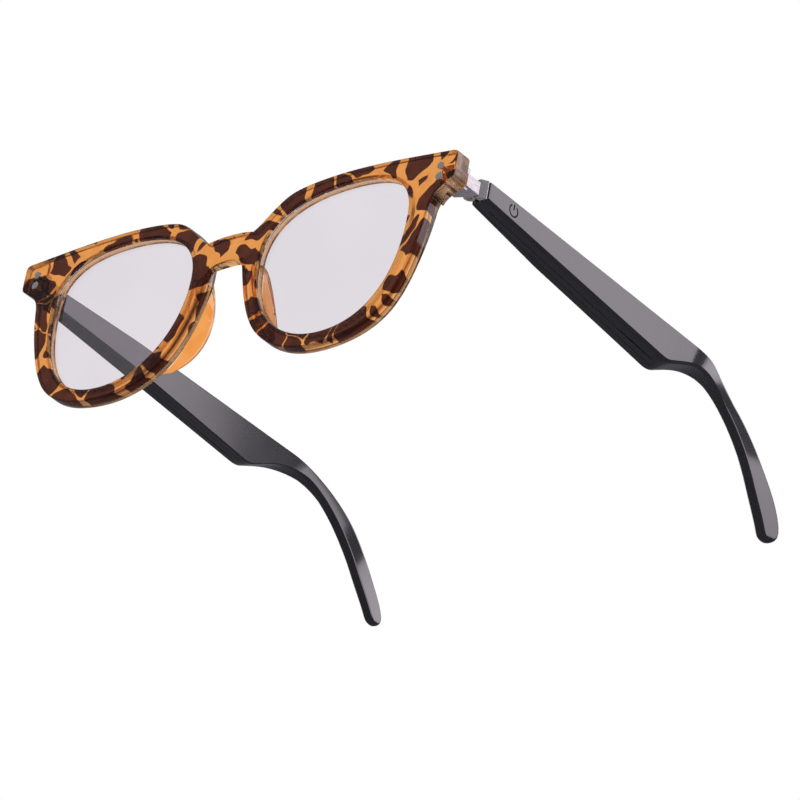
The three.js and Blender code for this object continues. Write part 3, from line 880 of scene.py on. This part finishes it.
def contact_holes(cover):
    for centre in CONTACTS:
        outline = circle(centre, CONTACT_HOLE_RADIUS)
        combine(cover, prism("contact", outline, 60, 70), "DIFFERENCE")


shell, cover = temple_pieces()
for label in ("left", "right"):
    for source, kind in ((shell, "shell"), (cover, "cover")):
        name = f"temple_{kind}_smooth_{label}"
        piece = copy_of(source, name) if label == "right" else mirrored(source, name)
        if name == "temple_cover_smooth_right":
            contact_holes(piece)
        shade(piece, 32)
        finish_piece(piece, "temple_" + label, BLACK, f"temple_{kind}_{label}")
for spare in (shell, cover):
    bpy.data.objects.remove(spare)


def power_mark():
    """A ring open at the top with a short bar, its outer face flush with the plastic."""
    y0, z0 = 22.2, 41.0
    radius, width, gap = 1.55, 0.44, math.radians(34)
    verts, faces = [], []

    def strip(centre_line, half):
        base = len(verts)
        count = len(centre_line)
        for i, (y, z) in enumerate(centre_line):
            a = centre_line[max(i - 1, 0)]
            b = centre_line[min(i + 1, count - 1)]
            dy, dz = b[0] - a[0], b[1] - a[1]
            size = math.hypot(dy, dz)
            ny, nz = -dz / size * half, dy / size * half
            end = 0.55 if i in (0, count - 1) else 1.0
            for x, k in ((OUTER - 0.04, 1.0), (OUTER, 0.9)):
                for sign in (1, -1):
                    verts.append(place(x, y + sign * ny * k * end, z + sign * nz * k * end))
        for i in range(count - 1):
            a, b = base + 4 * i, base + 4 * (i + 1)
            for p, q in ((0, 1), (1, 3), (3, 2), (2, 0)):
                faces.append((a + p, a + q, b + q, b + p))
        faces.append((base, base + 2, base + 3, base + 1))
        last = base + 4 * (count - 1)
        faces.append((last, last + 1, last + 3, last + 2))

    turns = [math.pi / 2 + gap + (math.tau - 2 * gap) * i / 60 for i in range(61)]
    strip([(y0 + radius * math.cos(a), z0 + radius * math.sin(a)) for a in turns], width / 2)
    strip([(y0, z0 + 0.1 + 1.75 * i / 8) for i in range(9)], width / 2)
    mark = mesh_object("power_mark", verts, faces)
    finish_piece(mark, "temple_right", PRINT, "power_icon")


power_mark()


# ---------------------------------------------------------------- small CAD parts kept

KEPT = {
    "rivet_upper": RIVET, "rivet_lower": RIVET, "hinge_block": NICKEL, "hinge_pin": NICKEL,
    "hinge_leaf": NICKEL, "speaker_mesh": GRILLE, "circuit_board": BOARD, "battery": FOIL,
    "speaker": CAN, "microphone": CAN, "touch_sensor": COPPER,
}
SINGLE = {"charging_contact_front": GOLD, "charging_contact_rear": GOLD}
# Bevel widths in millimetres.
EDGE = {"hinge_block": 0.22, "hinge_leaf": 0.12, "rivet_upper": 0.09, "rivet_lower": 0.09,
        "hinge_pin": 0.08, "charging_contact_front": 0.1, "charging_contact_rear": 0.1,
        "battery": 0.5, "circuit_board": 0.08, "speaker": 0.3, "microphone": 0.1}
for kind, material in {**KEPT, **SINGLE}.items():
    for suffix in ("",) if kind in SINGLE else ("_left", "_right"):
        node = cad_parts[kind + suffix]
        node.data.materials.clear()
        node.data.materials.append(material)
        weld = node.modifiers.new("weld", "WELD")
        weld.merge_threshold = 1e-6
        if kind in EDGE:
            bevel = node.modifiers.new("edge", "BEVEL")
            bevel.width = EDGE[kind] * MM
            bevel.segments = 3
            bevel.limit_method = "ANGLE"
            bevel.angle_limit = math.radians(40)
        node.data.shade_smooth()
        node.data.set_sharp_from_angle(angle=math.radians(30))
        flat = node.modifiers.new("flat faces", "WEIGHTED_NORMAL")
        flat.keep_sharp = True


# ---------------------------------------------------------------- studio

def pale_floor():
    """A one-sided pale floor: seen and lit from above, absent from below."""
    half = 3.0
    mesh = bpy.data.meshes.new("floor")
    mesh.from_pydata([(-half, -half, 0), (half, -half, 0), (half, half, 0), (-half, half, 0)],
                     [], [(0, 1, 2, 3)])
    floor = new_object("floor", mesh)
    n = Nodes("pale floor")
    where = n.add("ShaderNodeTexCoord").outputs["Object"]
    tone = n.mix(n.steps(n.noise(where, 9.0, 3.0).outputs[0], 0.3, 0.7),
                 (0.86, 0.86, 0.86), (0.83, 0.83, 0.835))
    paint = n.add("ShaderNodeBsdfDiffuse", Color=tone)
    nothing = n.add("ShaderNodeBsdfTransparent")
    under = n.add("ShaderNodeNewGeometry").outputs["Backfacing"]
    both = n.add("ShaderNodeMixShader")
    n.set(both.inputs[0], under)
    n.tree.links.new(paint.outputs[0], both.inputs[1])
    n.tree.links.new(nothing.outputs[0], both.inputs[2])
    n.output(both.outputs[0])
    mesh.materials.append(n.owner)
    floor.visible_glossy = False


def softbox(name, direction, distance, size, radiance, shift=(0, 0, 0), colour=(1, 1, 1)):
    """A rectangular light facing the glasses. Radiance 1 is the white of the backdrop."""
    light = bpy.data.lights.new(name, "AREA")
    light.shape = "RECTANGLE"
    light.size, light.size_y = size
    light.energy = radiance * math.pi * size[0] * size[1]
    light.color = colour
    obj = bpy.data.objects.new(name, light)
    COLLECTION.objects.link(obj)
    toward = Vector(direction).normalized()
    obj.location = toward * distance + Vector(shift)
    obj.rotation_mode = "QUATERNION"
    obj.rotation_quaternion = toward.to_track_quat("Z", "Y")
    obj.visible_camera = False
    obj.visible_transmission = False


def studio_world():
    """White backdrop to the eye and through clear parts; a dim room in reflections."""
    n = Nodes("studio", world=True)
    bpy.context.scene.world = n.owner
    path = n.add("ShaderNodeLightPath")
    seen = n.math("MAXIMUM", path.outputs["Is Camera Ray"], path.outputs["Is Transmission Ray"])
    towards = n.add("ShaderNodeTexCoord").outputs["Generated"]
    height = n.parts(towards)[2]
    room = n.mix(n.steps(height, -0.3, 0.9), (0.12, 0.12, 0.135), (0.22, 0.22, 0.235))
    room = n.mix(path.outputs["Is Diffuse Ray"], room, (0.8, 0.8, 0.8))
    colour = n.mix(seen, room, (1.0, 1.0, 1.0))
    back = n.add("ShaderNodeBackground", Color=colour, Strength=1.0)
    n.output(back.outputs[0])


def camera():
    """The viewpoint: from in front, to the wearer's left and below."""
    data = bpy.data.cameras.new("camera")
    data.sensor_width = 36.0
    data.lens = 256.7
    data.clip_start, data.clip_end = 0.05, 20
    obj = bpy.data.objects.new("camera", data)
    COLLECTION.objects.link(obj)
    right = Vector((0.76934, 0.6178, 0.1626))
    up = Vector((0.18574, -0.45984, 0.86836))
    back = Vector((0.61124, -0.63786, -0.46853))
    turn = Matrix((right, up, back)).transposed().to_4x4()
    turn.translation = Vector((0.8873, -0.9289, -0.6510))
    obj.matrix_world = turn
    bpy.context.scene.camera = obj


pale_floor()
studio_world()
# Moves the key light sideways, across its own direction.
KEY_SHIFT = 0.29
softbox("key", (0.61, 0.64, 0.47), 0.9, (0.62, 0.62), 1.95,
        (0.722 * KEY_SHIFT, -0.692 * KEY_SHIFT, 0.0), (1.0, 0.91, 1.0))
softbox("top", (0.0, 0.1, 1.0), 1.0, (0.8, 0.5), 1.3)
softbox("bend", (0.22, 0.85, 0.47), 0.9, (0.42, 0.4), 2.0, colour=(1.0, 0.91, 1.0))
softbox("left", (-0.95, 0.25, 0.25), 1.1, (0.5, 0.5), 1.6)
camera()
scene = bpy.context.scene
scene.view_settings.view_transform = "Standard"
# Light turns inside the clear acetate many times before it leaves.
scene.cycles.max_bounces = 20
scene.cycles.glossy_bounces = 12
scene.cycles.transmission_bounces = 20

bpy.context.view_layer.update()
